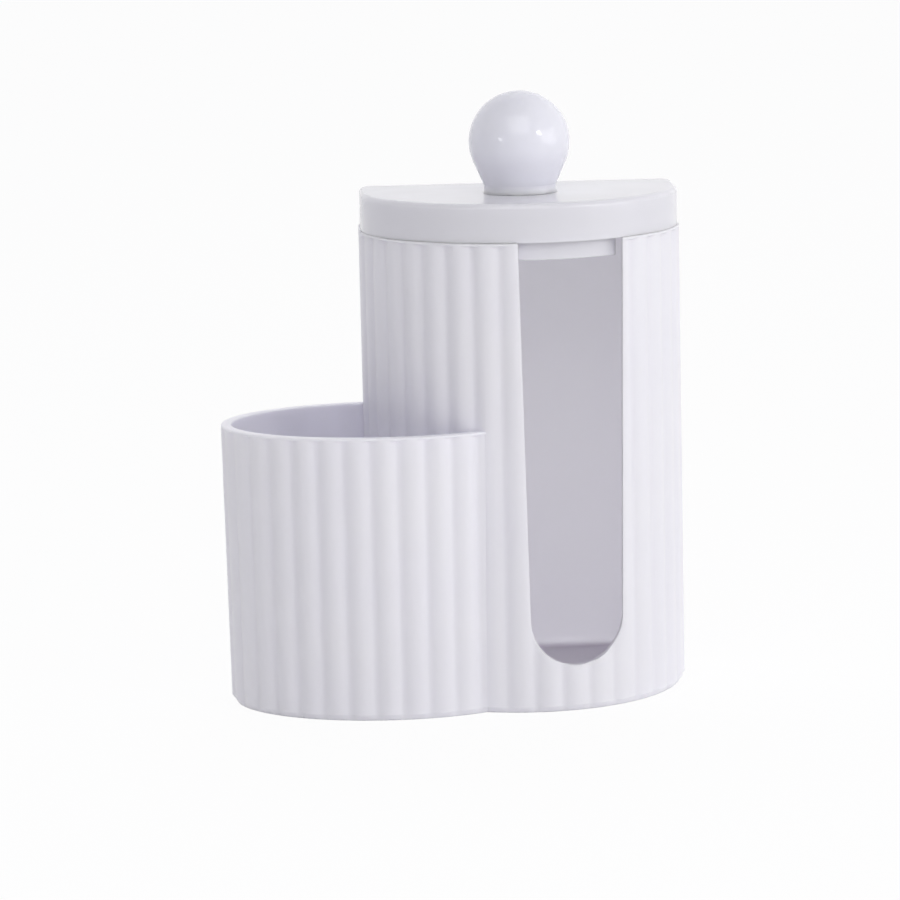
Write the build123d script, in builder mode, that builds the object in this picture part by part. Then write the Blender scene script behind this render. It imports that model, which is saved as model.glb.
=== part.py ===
from build123d import *
import os
from bisect import bisect
from math import cos, floor, hypot, pi, radians, sin, tan

# A cotton swab box: a tall lidded compartment for cotton pads with an open swab cup at its side.
# Sizes are in millimetres. +Z is up, the flat back faces +Y, and the origin is the middle of the base.

# Tall compartment
tall_width = 84.0
tall_depth = 60.0
tall_height = 121.4
back_corner = 4.0

# Swab cup
cup_length = 85.2
cup_depth = 63.0
cup_height = 73.4
cup_offset = 36.8
cup_back_step = 1.5
cup_draft = 0.55

# Walls and floor
wall = 2.8
floor_thickness = 2.5
foot_height = 2.5
foot_width = 3.4
core_corner = 2.5
inner_corner = 2.7
rim_round = 0.4

# Ribs of the outer walls
rib_pitch = 7.3
cup_rib_pitch = 7.1
cup_rib_start = 1.0
rib_height = 0.8
valley_width = 1.8
rib_end_gap = 0.5
rib_end_ramp = 0.4
rib_end_height = 0.05
oval_steps = 2400
base_bevel = 1.6
base_bevel_inset = 1.2

# Front slot
slot_offset = 11.0
slot_top_width = 27.1
slot_bottom_width = 24.1
slot_bottom = 12.0

# Lid
lid_height = 9.9
lid_step = 0.45
lid_top = 2.2
lid_round = 1.4
skirt_wall = 1.7
tab_clearance = 0.35
tab_wall = 1.6
tab_reach = 4.8
tab_round = 0.5
front_tab_length = 46.0
side_tab_length = 7.0
side_tab_gap = 1.0

# Knob
knob_from_back = 28.0
ball_diameter = 26.2
knob_height = 26.3
cone_slope = 24.0
neck_height = 2.2
neck_hollow = 0.05
foot_flare = 0.2
spigot_diameter = 7.0
spigot_length = 1.0
spigot_clearance = 0.15

# Screw that holds the knob
screw_diameter = 3.5
screw_length = 14.0
screw_clearance = 0.2
pilot_clearance = 0.05
pilot_spare = 1.5
screw_head_diameter = 7.0
screw_head_height = 2.4
screw_head_round = 0.9
screw_tip = 0.8
boss_diameter = 11.0
boss_height = 1.5
cross_length = 4.0
cross_width = 0.9
cross_depth = 1.3

# Places that follow from the sizes
overall_width = tall_width / 2 + cup_offset + cup_length / 2
overall_depth = max(tall_depth, cup_depth + cup_back_step)
back_y = overall_depth / 2
tall_x = overall_width / 2 - tall_width / 2
cup_x = tall_x - cup_offset
cup_y = back_y - cup_back_step - cup_depth / 2
front_radius = tall_width / 2
front_centre_y = back_y - tall_depth + front_radius
side_length = back_y - back_corner - front_centre_y
floor_top = foot_height + floor_thickness
lid_top_z = tall_height + lid_height
knob_y = back_y - knob_from_back
boss_z = lid_top_z - lid_top - boss_height
above = 1.0


# Plans of the tall compartment
def d_point(way, inset):
    """A point of the D's sides and round front, a way along from its right-hand back corner."""
    half = front_radius - inset
    round_way = way - side_length
    if round_way < 0:
        return tall_x + half, back_y - back_corner - way
    if round_way < pi * front_radius:
        turn = round_way / front_radius
        return tall_x + half * cos(turn), front_centre_y - half * sin(turn)
    return tall_x - half, front_centre_y + round_way - pi * front_radius


def d_plan(inset, height):
    """The smooth D, moved inwards by inset, as a face at a height."""
    half = front_radius - inset
    back = back_y - inset
    corner = max(back_corner - inset, inner_corner)
    with BuildSketch(Plane.XY.offset(height)) as plan:
        with BuildLine():
            Line((tall_x - half + corner, back), (tall_x + half - corner, back))
            CenterArc((tall_x + half - corner, back - corner), corner, 0, 90)
            Line((tall_x + half, back - corner), (tall_x + half, front_centre_y))
            CenterArc((tall_x, front_centre_y), half, 180, 180)
            Line((tall_x - half, front_centre_y), (tall_x - half, back - corner))
            CenterArc((tall_x - half + corner, back - corner), corner, 90, 90)
        make_face()
    return plan.sketch


def ribbed_d_plan(inset, height, relief):
    """The D with ribs round its sides and front, whose rounded grooves are as deep as relief."""
    run = 2 * side_length + pi * front_radius
    grooves = 2 * floor((run / rib_pitch - 1) / 2) + 1
    rest = (run - grooves * rib_pitch) / 2
    joint = inset + relief * (1 - valley_width / rib_pitch)
    half_rib = (rib_pitch - valley_width) / 2
    half = front_radius - inset
    corner = back_corner - inset
    back = back_y - inset
    with BuildSketch(Plane.XY.offset(height)) as plan:
        with BuildLine():
            Line((tall_x - half + corner, back), (tall_x + half - corner, back))
            CenterArc((tall_x + half - corner, back - corner), corner, 0, 90)
            Line(d_point(0, inset), d_point(rest, inset))
            ThreePointArc(
                d_point(rest, inset),
                d_point(rest + half_rib / 2, inset + (joint - inset) / 4),
                d_point(rest + half_rib, joint),
            )
            for groove in range(grooves):
                way = rest + half_rib + groove * rib_pitch
                ThreePointArc(
                    d_point(way, joint),
                    d_point(way + valley_width / 2, inset + relief),
                    d_point(way + valley_width, joint),
                )
                if groove < grooves - 1:
                    ThreePointArc(
                        d_point(way + valley_width, joint),
                        d_point(way + valley_width + half_rib, inset),
                        d_point(way + rib_pitch, joint),
                    )
            ThreePointArc(
                d_point(run - rest - half_rib, joint),
                d_point(run - rest - half_rib / 2, inset + (joint - inset) / 4),
                d_point(run - rest, inset),
            )
            Line(d_point(run - rest, inset), d_point(run, inset))
            CenterArc((tall_x - half + corner, back - corner), corner, 90, 90)
        make_face()
    return plan.sketch


# Plans of the swab cup
def draft_inset(height):
    """How far the cup's wall has leaned in at a height below its rim."""
    return (cup_height - height) * tan(radians(cup_draft))


def oval_point(turn, inset):
    """A point of the cup's oval rim, moved square inwards by inset."""
    half_x, half_y = cup_length / 2, cup_depth / 2
    out_x, out_y = half_y * cos(turn), half_x * sin(turn)
    size = hypot(out_x, out_y)
    x = cup_x + half_x * cos(turn) - inset * out_x / size
    y = cup_y + half_y * sin(turn) - inset * out_y / size
    return x, y


def oval_plan(inset, height):
    """The smooth oval, moved inwards by inset, as a face at a height."""
    with BuildSketch(Plane.XY.offset(height)) as plan:
        with Locations((cup_x, cup_y)):
            Ellipse(cup_length / 2 - inset, cup_depth / 2 - inset)
    return plan.sketch


def oval_ways():
    """Lengths along the oval's edge from its right-hand end, in fine even turns."""
    ways = [0.0]
    for step in range(oval_steps):
        x0, y0 = oval_point(2 * pi * step / oval_steps, 0)
        x1, y1 = oval_point(2 * pi * (step + 1) / oval_steps, 0)
        ways.append(ways[-1] + hypot(x1 - x0, y1 - y0))
    return ways


edge_ways = oval_ways()


def edge_point(way, inset):
    """A point of the oval, a way along its edge, moved square inwards by inset."""
    way = way % edge_ways[-1]
    step = bisect(edge_ways, way) - 1
    share = (way - edge_ways[step]) / (edge_ways[step + 1] - edge_ways[step])
    return oval_point(2 * pi * (step + share) / oval_steps, inset)


def ribbed_oval_plan(inset, height, relief):
    """The oval with ribs all round, whose rounded grooves are as deep as relief."""
    ribs = round(edge_ways[-1] / cup_rib_pitch)
    pitch = edge_ways[-1] / ribs
    joint = inset + relief * (1 - valley_width / pitch)
    with BuildSketch(Plane.XY.offset(height)) as plan:
        with BuildLine():
            for rib in range(ribs):
                groove = cup_rib_start + rib * pitch
                ThreePointArc(
                    edge_point(groove - valley_width / 2, joint),
                    edge_point(groove, inset + relief),
                    edge_point(groove + valley_width / 2, joint),
                )
                ThreePointArc(
                    edge_point(groove + valley_width / 2, joint),
                    edge_point(groove + pitch / 2, inset),
                    edge_point(groove + pitch - valley_width / 2, joint),
                )
        make_face()
    return plan.sketch


# The space inside the tall compartment
with BuildPart() as pad_space:
    extrude(d_plan(wall, floor_top), amount=tall_height - floor_top + above)
    fillet(pad_space.faces().sort_by(Axis.Z)[0].edges(), core_corner)

# The space inside the swab cup
with BuildPart() as swab_space:
    loft(
        [
            oval_plan(wall + draft_inset(floor_top), floor_top),
            oval_plan(wall + draft_inset(cup_height + above), cup_height + above),
        ]
    )
    fillet(swab_space.faces().sort_by(Axis.Z)[0].edges(), core_corner)

# The container: cup and tall compartment in one moulding, parted by the compartment's own wall
with BuildPart() as container:
    cup_rib_end = cup_height - rib_end_gap
    cup_ramp = cup_rib_end - rib_end_ramp
    loft(
        [
            ribbed_oval_plan(draft_inset(0) + base_bevel_inset, 0, rib_end_height),
            ribbed_oval_plan(draft_inset(base_bevel), base_bevel, rib_height),
            ribbed_oval_plan(draft_inset(cup_ramp), cup_ramp, rib_height),
            ribbed_oval_plan(
                draft_inset(cup_rib_end) + rib_end_height, cup_rib_end, rib_end_height
            ),
        ],
        ruled=True,
    )
    loft([oval_plan(draft_inset(cup_rib_end), cup_rib_end), oval_plan(0, cup_height)])
    add(swab_space.part, mode=Mode.SUBTRACT)
    fillet(container.faces().sort_by(Axis.Z)[-1].edges(), rim_round)

    tall_rib_end = tall_height - rib_end_gap
    tall_ramp = tall_rib_end - rib_end_ramp
    loft(
        [
            ribbed_d_plan(base_bevel_inset, 0, rib_end_height),
            ribbed_d_plan(0, base_bevel, rib_height),
        ],
        ruled=True,
    )
    extrude(ribbed_d_plan(0, base_bevel, rib_height), amount=tall_ramp - base_bevel)
    loft(
        [
            ribbed_d_plan(0, tall_ramp, rib_height),
            ribbed_d_plan(rib_end_height, tall_rib_end, rib_end_height),
        ],
        ruled=True,
    )
    extrude(d_plan(0, tall_rib_end), amount=rib_end_gap)
    add(pad_space.part, mode=Mode.SUBTRACT)

    # Front slot: open at the rim, narrower towards its round bottom
    slot_x = tall_x + slot_offset
    slot_round = slot_bottom + slot_bottom_width / 2
    slot_end = tall_height + above
    slot_lean = (slot_top_width - slot_bottom_width) / 2 / (tall_height - slot_round)
    slot_end_width = slot_bottom_width + 2 * slot_lean * (slot_end - slot_round)
    with BuildSketch(Plane.XZ.offset(-front_centre_y)):
        with BuildLine():
            Polyline(
                (slot_x - slot_bottom_width / 2, slot_round),
                (slot_x - slot_end_width / 2, slot_end),
                (slot_x + slot_end_width / 2, slot_end),
                (slot_x + slot_bottom_width / 2, slot_round),
            )
            ThreePointArc(
                (slot_x + slot_bottom_width / 2, slot_round),
                (slot_x, slot_bottom),
                (slot_x - slot_bottom_width / 2, slot_round),
            )
        make_face()
    extrude(amount=front_radius + above, mode=Mode.SUBTRACT)
    fillet(container.faces().sort_by(Axis.Z)[-1].edges(), rim_round)

    # Recess under the floor, which leaves a standing rim
    extrude(d_plan(foot_width, 0), amount=foot_height, mode=Mode.SUBTRACT)
    extrude(oval_plan(foot_width + draft_inset(0), 0), amount=foot_height, mode=Mode.SUBTRACT)
container.part.label = "container"

# Where the lid's locating tabs stand: at the front, the back and both sides, clear of the corners
side_tab_end = back_y - wall - tab_clearance - tab_wall - inner_corner - side_tab_gap
with BuildSketch(Plane.XY.offset(tall_height - tab_reach)) as tab_plan:
    add(d_plan(wall + tab_clearance, tall_height - tab_reach))
    add(d_plan(wall + tab_clearance + tab_wall, tall_height - tab_reach), mode=Mode.SUBTRACT)
    with BuildSketch(Plane.XY.offset(tall_height - tab_reach), mode=Mode.INTERSECT):
        with Locations((tall_x, back_y - tall_depth / 2)):
            Rectangle(front_tab_length, tall_depth)
        with Locations((tall_x, side_tab_end - side_tab_length / 2)):
            Rectangle(tall_width, side_tab_length)

# Lid: a D-shaped cap whose skirt stands on the rim, with tabs that locate it inside the wall
with BuildPart() as lid:
    extrude(d_plan(lid_step, tall_height), amount=lid_height)
    fillet(lid.faces().sort_by(Axis.Z)[-1].edges(), lid_round)
    skirt_plan = d_plan(lid_step + skirt_wall, tall_height)
    extrude(skirt_plan, amount=lid_height - lid_top, mode=Mode.SUBTRACT)
    extrude(tab_plan.sketch, amount=tab_reach + lid_height - lid_top)
    fillet(lid.faces().group_by(Axis.Z)[0].edges(), tab_round)
    with BuildSketch(Plane.XY.offset(boss_z)):
        with Locations((tall_x, knob_y)):
            Circle(boss_diameter / 2)
    extrude(amount=boss_height)
    with BuildSketch(Plane.XY.offset(boss_z)):
        with Locations((tall_x, knob_y)):
            Circle(screw_diameter / 2 + screw_clearance)
    extrude(amount=lid_top_z - boss_z, mode=Mode.SUBTRACT)
    with BuildSketch(Plane.XY.offset(lid_top_z)):
        with Locations((tall_x, knob_y)):
            Circle(spigot_diameter / 2 + spigot_clearance)
    extrude(amount=-spigot_length - spigot_clearance, mode=Mode.SUBTRACT)
lid.part.label = "lid"

# Knob: a ball on a coned neck, with a spigot that sits in the lid
ball_radius = ball_diameter / 2
ball_centre = knob_height - ball_radius
cone_top_radius = ball_radius * cos(radians(cone_slope))
cone_top = ball_centre - ball_radius * sin(radians(cone_slope))
neck_radius = cone_top_radius - (cone_top - neck_height) * tan(radians(cone_slope))
knob_plane = Plane((tall_x, knob_y, lid_top_z), x_dir=(1, 0, 0), z_dir=(0, -1, 0))
with BuildPart() as knob:
    with BuildSketch(knob_plane):
        with BuildLine():
            Polyline(
                (0, knob_height),
                (0, -spigot_length),
                (spigot_diameter / 2, -spigot_length),
                (spigot_diameter / 2, 0),
                (neck_radius + foot_flare, 0),
            )
            ThreePointArc(
                (neck_radius + foot_flare, 0),
                (neck_radius - neck_hollow, neck_height / 2),
                (neck_radius, neck_height),
            )
            Line((neck_radius, neck_height), (cone_top_radius, cone_top))
            CenterArc((0, ball_centre), ball_radius, -cone_slope, 90 + cone_slope)
        make_face()
    revolve(axis=Axis((tall_x, knob_y, 0), (0, 0, 1)))
    with BuildSketch(Plane.XY.offset(lid_top_z - spigot_length)):
        with Locations((tall_x, knob_y)):
            Circle(screw_diameter / 2 + pilot_clearance)
    extrude(
        amount=boss_z + screw_length + pilot_spare - lid_top_z + spigot_length,
        mode=Mode.SUBTRACT,
    )
knob.part.label = "knob"

# Screw: its pan head bears on the boss under the lid, and its shank holds the knob
with BuildPart() as knob_screw:
    with BuildSketch(Plane.XY.offset(boss_z)):
        with Locations((tall_x, knob_y)):
            Circle(screw_head_diameter / 2)
    extrude(amount=-screw_head_height)
    fillet(knob_screw.faces().sort_by(Axis.Z)[0].edges(), screw_head_round)
    with BuildSketch(Plane.XY.offset(boss_z)):
        with Locations((tall_x, knob_y)):
            Circle(screw_diameter / 2)
    extrude(amount=screw_length)
    chamfer(knob_screw.faces().sort_by(Axis.Z)[-1].edges(), screw_tip)
    with BuildSketch(Plane.XY.offset(boss_z - screw_head_height)):
        with Locations((tall_x, knob_y)):
            Rectangle(cross_length, cross_width)
            Rectangle(cross_width, cross_length)
    extrude(amount=cross_depth, mode=Mode.SUBTRACT)
knob_screw.part.label = "knob_screw"

os.makedirs("parts", exist_ok=True)
export_step(container.part, "parts/container.step")
export_step(lid.part, "parts/lid.step")
export_step(knob.part, "parts/knob.step")
export_step(knob_screw.part, "parts/knob_screw.step")
print("overall", round(overall_width, 1), round(overall_depth, 1), round(lid_top_z + knob_height, 1))
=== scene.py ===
# %% [markdown]
# # A ribbed box for cotton pads and swabs
# The real thing is a white plastic box for the bathroom: a tall compartment with a lid and a
# ball knob, and a lower open cup at its left. The construction model already has every wall,
# rib and tab at its real size, so this lesson loads it as a fixed frame and spends its effort
# on what plastic looks like: colour, gloss, a moulded grain and the light that shows the ribs.

# %% Load the construction model
from math import cos, pi, radians, sin

import bpy
from mathutils import Matrix, Vector

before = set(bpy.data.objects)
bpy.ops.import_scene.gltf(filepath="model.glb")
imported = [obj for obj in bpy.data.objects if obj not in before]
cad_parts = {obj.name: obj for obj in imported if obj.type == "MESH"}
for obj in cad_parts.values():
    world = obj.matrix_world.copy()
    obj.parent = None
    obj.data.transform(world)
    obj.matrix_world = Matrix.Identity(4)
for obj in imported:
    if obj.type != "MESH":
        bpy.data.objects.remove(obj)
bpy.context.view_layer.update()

# %% [markdown]
# ## Camera
# The photograph was taken with a long lens from about a metre away, a little to the left and
# nine degrees above the horizon. Its place was found by fitting a pinhole camera to the
# outlines of the lid, the compartment and the cup. Writing down a place, a direction and a
# roll is enough, and the sensor is 36 mm wide, so the focal length follows from the fit.

# %% Camera at the photograph's viewing angle
camera_place = Vector((-0.0334, -0.9772, 0.2286))
look_right = 1.888
look_down = 9.521
camera_roll = 1.323
focal_length = 151.8

bpy.ops.object.camera_add(location=camera_place)
camera = bpy.context.object
camera.name = "photo_camera"
turn = (
    Matrix.Rotation(radians(-look_right), 4, "Z")
    @ Matrix.Rotation(radians(90 - look_down), 4, "X")
    @ Matrix.Rotation(radians(-camera_roll), 4, "Z")
)
camera.rotation_euler = turn.to_euler()
camera.data.sensor_width = 36
camera.data.lens = focal_length
camera.data.dof.use_dof = False
bpy.context.scene.camera = camera
print("camera at", tuple(camera.location), "lens", camera.data.lens)

# %% [markdown]
# ## How white plastic works
# White polypropylene looks solid, but light sinks a few millimetres into it and comes out
# again nearby. That is why its ribs look soft and why the inside of a thin-walled box is
# seldom dark. A diffuse colour alone has none of this, so the shader gets subsurface
# scattering, whose scale is a distance in metres. On top come three small things that every
# moulding has: a faint cloud where the melt flowed, a roughness that follows it, and a grain
# as fine as the spark-eroded mould. All three read Object coordinates, so they stay in place
# when a part moves.

# %% Helpers for node materials
def new_material(name):
    """A material with an empty Principled shader, and its nodes and links."""
    material = bpy.data.materials.new(name)
    material.use_nodes = True
    nodes = material.node_tree.nodes
    shader = nodes["Principled BSDF"]
    return material, nodes, material.node_tree.links, shader


def noise(nodes, links, place, cell, detail):
    """A noise pattern whose blotches are about one cell across, in metres."""
    pattern = nodes.new("ShaderNodeTexNoise")
    pattern.inputs["Scale"].default_value = 1 / cell
    pattern.inputs["Detail"].default_value = detail
    links.new(place.outputs["Object"], pattern.inputs["Vector"])
    return pattern


def finish_node(node_name, material):
    """Gives a carried-over node of the construction model one finished material."""
    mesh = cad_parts[node_name].data
    mesh.materials.clear()
    mesh.materials.append(material)
    print(node_name, "wears", material.name)


# %% Helpers for sums in nodes
def maths(nodes, links, operation, *values):
    """The output of a math node whose inputs are other outputs or plain numbers."""
    node = nodes.new("ShaderNodeMath")
    node.operation = operation
    for socket, value in zip(node.inputs, values):
        if isinstance(value, (int, float)):
            socket.default_value = value
        else:
            links.new(value, socket)
    return node.outputs["Value"]


def ramp(nodes, links, value, start, end, low, high):
    """A smooth rise from low to high while a value goes from start to end."""
    node = nodes.new("ShaderNodeMapRange")
    node.interpolation_type = "SMOOTHSTEP"
    node.inputs["From Min"].default_value = start
    node.inputs["From Max"].default_value = end
    node.inputs["To Min"].default_value = low
    node.inputs["To Max"].default_value = high
    links.new(value, node.inputs["Value"])
    return node.outputs["Result"]


# %% A moulded white plastic
flow_cell = 0.028
flow_shade = 0.985
flow_edges = (0.3, 0.7)
flow_detail = 3
rub_change = 0.03
grain_detail = 4
ripple_cell = 0.02
ripple_detail = 1
plastic_index = 1.49


def plastic(name, colour, roughness, grain, grain_depth, ripple_depth, glow_depth):
    """Moulded plastic with a flow cloud, a mould grain, a slow ripple and light in its depth."""
    material, nodes, links, shader = new_material(name)
    place = nodes.new("ShaderNodeTexCoord")

    cloud = noise(nodes, links, place, flow_cell, flow_detail)
    tint = nodes.new("ShaderNodeValToRGB")
    shaded, plain = tint.color_ramp.elements
    shaded.position, plain.position = flow_edges
    shaded.color = (*[part * flow_shade for part in colour], 1)
    plain.color = (*colour, 1)
    links.new(cloud.outputs["Fac"], tint.inputs["Fac"])
    links.new(tint.outputs["Color"], shader.inputs["Base Color"])

    smooth, rough = roughness - rub_change, roughness + rub_change
    rub = ramp(nodes, links, cloud.outputs["Fac"], 0, 1, smooth, rough)
    links.new(rub, shader.inputs["Roughness"])

    fine = nodes.new("ShaderNodeBump")
    fine.inputs["Distance"].default_value = grain_depth
    fine_grain = noise(nodes, links, place, grain, grain_detail)
    links.new(fine_grain.outputs["Fac"], fine.inputs["Height"])
    slow = nodes.new("ShaderNodeBump")
    slow.inputs["Distance"].default_value = ripple_depth
    slow_ripple = noise(nodes, links, place, ripple_cell, ripple_detail)
    links.new(slow_ripple.outputs["Fac"], slow.inputs["Height"])
    links.new(slow.outputs["Normal"], fine.inputs["Normal"])
    links.new(fine.outputs["Normal"], shader.inputs["Normal"])

    shader.inputs["IOR"].default_value = plastic_index
    shader.inputs["Subsurface Weight"].default_value = 1
    shader.inputs["Subsurface Radius"].default_value = (1, 1, 1)
    shader.inputs["Subsurface Scale"].default_value = glow_depth
    print(name, "lets light in by", glow_depth * 1000, "mm, roughness", roughness)
    return material


# %% [markdown]
# ## The container
# The container is one satin moulding whose ribs catch the light softly. In the photograph the
# inside of the tall compartment is nearly as light as the outside. With one short scattering
# distance all over, the back of the slot came out about 50 of 255 levels too dark, so the
# inner side of the wall gets a deeper distance. Its colour inside also gets a lavender tint,
# which hardly shows: a painted shade that stands in for the bluish shade deep in the
# compartment. Both are liberties, because the real moulding is one plastic. The outside keeps
# the short distance: with the deep one it came out 10 to 25 levels darker. The wall's inner
# line is known from the construction model: half a circle in front of a rectangle, seen from
# above. A few sums on Object coordinates turn that outline into a mask.

# %% Where the inside of the tall compartment begins
pads_x = 0.0187
pads_y = 0.01425
pads_radius = 0.0404
pads_back = 0.0309
wall_blend = 0.0007
floor_fade = (0.0045, 0.0065)


def inside_masks(material):
    """1 within the tall compartment's wall and 0 outside it: with and without its floor."""
    nodes, links = material.node_tree.nodes, material.node_tree.links
    place = nodes.new("ShaderNodeTexCoord")
    split = nodes.new("ShaderNodeSeparateXYZ")
    links.new(place.outputs["Object"], split.inputs["Vector"])
    x, y, z = split.outputs["X"], split.outputs["Y"], split.outputs["Z"]

    def step(operation, *values):
        return maths(nodes, links, operation, *values)

    across = step("SUBTRACT", x, pads_x)
    ahead = step("MINIMUM", step("SUBTRACT", y, pads_y), 0)
    squares = step("ADD", step("MULTIPLY", across, across), step("MULTIPLY", ahead, ahead))
    to_round_wall = step("SUBTRACT", pads_radius, step("SQRT", squares))
    to_back_wall = step("SUBTRACT", pads_back, y)
    depth = step("MINIMUM", to_round_wall, to_back_wall)
    within = ramp(nodes, links, depth, -wall_blend, wall_blend, 0, 1)
    over_floor = ramp(nodes, links, z, *floor_fade, 0, 1)
    return within, step("MULTIPLY", within, over_floor)


# %% Satin white for the container
outer_glow = 0.0012
inner_glow = 0.014
# A painted shade: the lavender of the shade deep inside the tall compartment, not the plastic's
# own colour.
painted_inner_shade_tint = (0.92, 0.88, 1, 1)

box_plastic = plastic(
    "box_plastic",
    colour=(0.9, 0.89, 1),
    roughness=0.38,
    grain=0.0009,
    grain_depth=0.00001,
    ripple_depth=0.00003,
    glow_depth=outer_glow,
)
box_nodes, box_links = box_plastic.node_tree.nodes, box_plastic.node_tree.links
box_shader = box_nodes["Principled BSDF"]
within, inner_wall = inside_masks(box_plastic)
glow = ramp(box_nodes, box_links, inner_wall, 0, 1, outer_glow, inner_glow)
box_links.new(glow, box_shader.inputs["Subsurface Scale"])
# Inside the tall compartment the colour is mixed towards the painted shade tint above.
outer_colour = box_shader.inputs["Base Color"].links[0].from_socket
painted_inner_shade_mix = box_nodes.new("ShaderNodeMix")
painted_inner_shade_mix.data_type = "RGBA"
painted_inner_shade_mix.inputs["B"].default_value = painted_inner_shade_tint
box_links.new(within, painted_inner_shade_mix.inputs["Factor"])
box_links.new(outer_colour, painted_inner_shade_mix.inputs["A"])
box_links.new(painted_inner_shade_mix.outputs["Result"], box_shader.inputs["Base Color"])
finish_node("container", box_plastic)

# %% [markdown]
# ## Lid and knob
# The lid and its ball come out of polished moulds, so they are glossier than the container:
# the lid's top softly mirrors the white room behind it, and the ball shows two small spots
# of light. The same plastic serves both, with a lower roughness and shallower bumps. The
# ball is thick, so it gets twice the scattering distance of the lid.

# %% Polished white for the lid and the knob
polished_grain_depth = 0.000002
polished_ripple_depth = 0.00002

lid_plastic = plastic(
    "lid_plastic",
    colour=(0.795, 0.79, 0.82),
    roughness=0.19,
    grain=0.0012,
    grain_depth=polished_grain_depth,
    ripple_depth=polished_ripple_depth,
    glow_depth=0.0015,
)
finish_node("lid", lid_plastic)
knob_plastic = plastic(
    "knob_plastic",
    colour=(0.86, 0.86, 0.935),
    roughness=0.08,
    grain=0.0015,
    grain_depth=polished_grain_depth,
    ripple_depth=polished_ripple_depth,
    glow_depth=0.003,
)
finish_node("knob", knob_plastic)

# %% [markdown]
# ## The screw
# A small zinc-plated screw holds the ball from inside the lid, and shows only when the lid is
# off. Metal has no colour of its own beneath its shine, so the shader is fully metallic, and
# a fine noise in its roughness stands for the grain that the plating keeps from turning.

# %% Zinc-plated steel for the screw
zinc_colour = (0.55, 0.55, 0.56, 1)
zinc_grain = 0.0004
zinc_detail = 2
zinc_smooth = 0.25
zinc_rough = 0.42


def screw_steel():
    """Zinc-plated steel with a fine grain in its shine."""
    material, nodes, links, shader = new_material("screw_steel")
    place = nodes.new("ShaderNodeTexCoord")
    grain = noise(nodes, links, place, zinc_grain, zinc_detail)
    rub = ramp(nodes, links, grain.outputs["Fac"], 0, 1, zinc_smooth, zinc_rough)
    links.new(rub, shader.inputs["Roughness"])
    shader.inputs["Base Color"].default_value = zinc_colour
    shader.inputs["Metallic"].default_value = 1
    return material


finish_node("knob_screw", screw_steel())

# %% [markdown]
# ## Floor
# The box was photographed on white and cut out, so what lies behind it is plain white. A
# floor that is only lit would come out grey, so for rays that the camera sees directly or in
# a reflection it gives off most of its white itself. The rest is still lit, and keeps the
# soft shadow that shows where the box stands.

# %% A direct-view switch
def seen_directly(nodes, links):
    """1 for rays from the camera, straight or by way of gloss or glass, and else 0."""
    paths = nodes.new("ShaderNodeLightPath")
    gloss, glass = paths.outputs["Is Glossy Ray"], paths.outputs["Is Transmission Ray"]
    reflected = maths(nodes, links, "MAXIMUM", gloss, glass)
    return maths(nodes, links, "MAXIMUM", paths.outputs["Is Camera Ray"], reflected)


# %% Floor
floor_size = 12
floor_colour = (0.97, 0.97, 0.97, 1)
floor_roughness = 0.7
floor_own_share = 0.93
white = (1, 1, 1, 1)

bpy.ops.mesh.primitive_plane_add(size=floor_size, location=(0, 0, 0))
floor = bpy.context.object
floor.name = "floor"
floor_material, floor_nodes, floor_links, floor_shader = new_material("pale_floor")
floor_shader.inputs["Base Color"].default_value = floor_colour
floor_shader.inputs["Roughness"].default_value = floor_roughness
own_white = floor_nodes.new("ShaderNodeEmission")
own_white.inputs["Color"].default_value = white
own_white.inputs["Strength"].default_value = 1
floor_seen = seen_directly(floor_nodes, floor_links)
floor_share = maths(floor_nodes, floor_links, "MULTIPLY", floor_seen, floor_own_share)
floor_blend = floor_nodes.new("ShaderNodeMixShader")
floor_surface = floor_nodes["Material Output"].inputs["Surface"]
floor_links.new(floor_share, floor_blend.inputs["Fac"])
floor_links.new(floor_shader.outputs["BSDF"], floor_blend.inputs[1])
floor_links.new(own_white.outputs["Emission"], floor_blend.inputs[2])
floor_links.new(floor_blend.outputs["Shader"], floor_surface)
floor.data.materials.append(floor_material)
print("floor", floor_size, "m wide,", floor_own_share, "of its white its own")

# %% [markdown]
# ## Room
# A room of white walls lights the box from all round, but not evenly: in the photograph the
# inside of the slot and the lid's far edge are light, so most of that light comes from
# behind, with a little from above, from the right and from the front. The world's strength
# is therefore a sum of smooth rises over the direction in which a ray leaves. What the
# camera sees is plain white in every direction, by the same switch as on the floor.

# %% Room light by direction
room_colour = (0.94, 0.932, 1, 1)
room_full_at = 0.8
room_parts = (
    ("behind", "Y", room_full_at, 1.14),
    ("in front", "Y", -room_full_at, 0.07),
    ("at the right", "X", room_full_at, 0.14),
    ("overhead", "Z", room_full_at, 0.285),
)

world = bpy.data.worlds.new("studio")
bpy.context.scene.world = world
world.use_nodes = True
world_nodes, world_links = world.node_tree.nodes, world.node_tree.links
room = world_nodes["Background"]
room.inputs["Color"].default_value = room_colour
sky = world_nodes.new("ShaderNodeTexCoord")
split = world_nodes.new("ShaderNodeSeparateXYZ")
world_links.new(sky.outputs["Generated"], split.inputs["Vector"])
room_strength = 0.0
for side, axis, full_at, strength in room_parts:
    part = ramp(world_nodes, world_links, split.outputs[axis], 0, full_at, 0, strength)
    room_strength = maths(world_nodes, world_links, "ADD", part, room_strength)
    print("room light", side, strength)
world_links.new(room_strength, room.inputs["Strength"])

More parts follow.
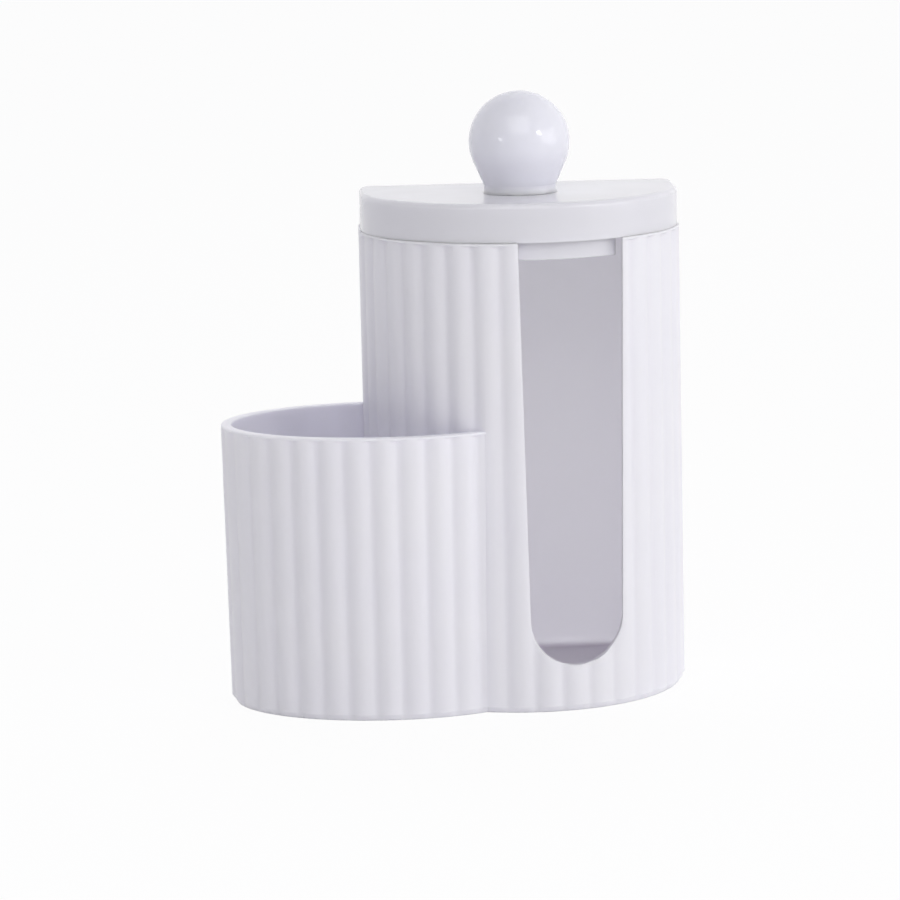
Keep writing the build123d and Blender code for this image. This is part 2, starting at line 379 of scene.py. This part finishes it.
# %% White backdrop
backdrop = world_nodes.new("ShaderNodeBackground")
backdrop.inputs["Color"].default_value = white
backdrop.inputs["Strength"].default_value = 1
world_blend = world_nodes.new("ShaderNodeMixShader")
world_surface = world_nodes["World Output"].inputs["Surface"]
world_links.new(seen_directly(world_nodes, world_links), world_blend.inputs["Fac"])
world_links.new(room.outputs["Background"], world_blend.inputs[1])
world_links.new(backdrop.outputs["Background"], world_blend.inputs[2])
world_links.new(world_blend.outputs["Shader"], world_surface)
print("backdrop strength", backdrop.inputs["Strength"].default_value)

# %% [markdown]
# ## Lamps
# The photograph's right side is the bright one, its ribs have soft shadows, and its ball has
# one clear spot of light and a fainter one. So a large panel stands low at the right, another
# hangs high in front, in line with the slot, so that it also reaches the slot's floor, and
# two small boxes at the right and the left make the spots. Each lamp is placed by its compass
# direction, counted from the front towards the right, its height angle and its distance.
# They were set for the photograph's side only: seen from behind, the lid's top mirrors the
# small boxes and clips to white.

# %% Soft lamps
lamp_target = Vector((0, 0, 0.08))


def soft_lamp(name, azimuth, elevation, distance, side, power):
    """A square area lamp of a real size, aimed at the middle of the box."""
    level = distance * cos(radians(elevation))
    to_right = level * sin(radians(azimuth))
    to_front = level * cos(radians(azimuth))
    rise = distance * sin(radians(elevation))
    place = lamp_target + Vector((to_right, -to_front, rise))
    bpy.ops.object.light_add(type="AREA", location=place)
    lamp = bpy.context.object
    lamp.name = name
    lamp.data.shape = "SQUARE"
    lamp.data.size = side
    lamp.data.energy = power
    lamp.rotation_euler = (lamp_target - place).to_track_quat("-Z", "Y").to_euler()
    facing = power / (pi * distance) ** 2
    print(name, "adds", round(facing, 3), "of a white room's light to what faces it")


soft_lamp("right_panel", azimuth=70, elevation=4, distance=1.5, side=1.1, power=7.1)
soft_lamp("high_panel", azimuth=-3, elevation=45, distance=1.6, side=1.2, power=7.5)
soft_lamp("right_box", azimuth=46, elevation=21, distance=1.5, side=0.26, power=2.2)
soft_lamp("left_box", azimuth=-46, elevation=10, distance=1.5, side=0.22, power=0.7)

# %% [markdown]
# ## Finish
# The Standard view shows a colour as it is written.

# %% The end
bpy.context.scene.view_settings.view_transform = "Standard"
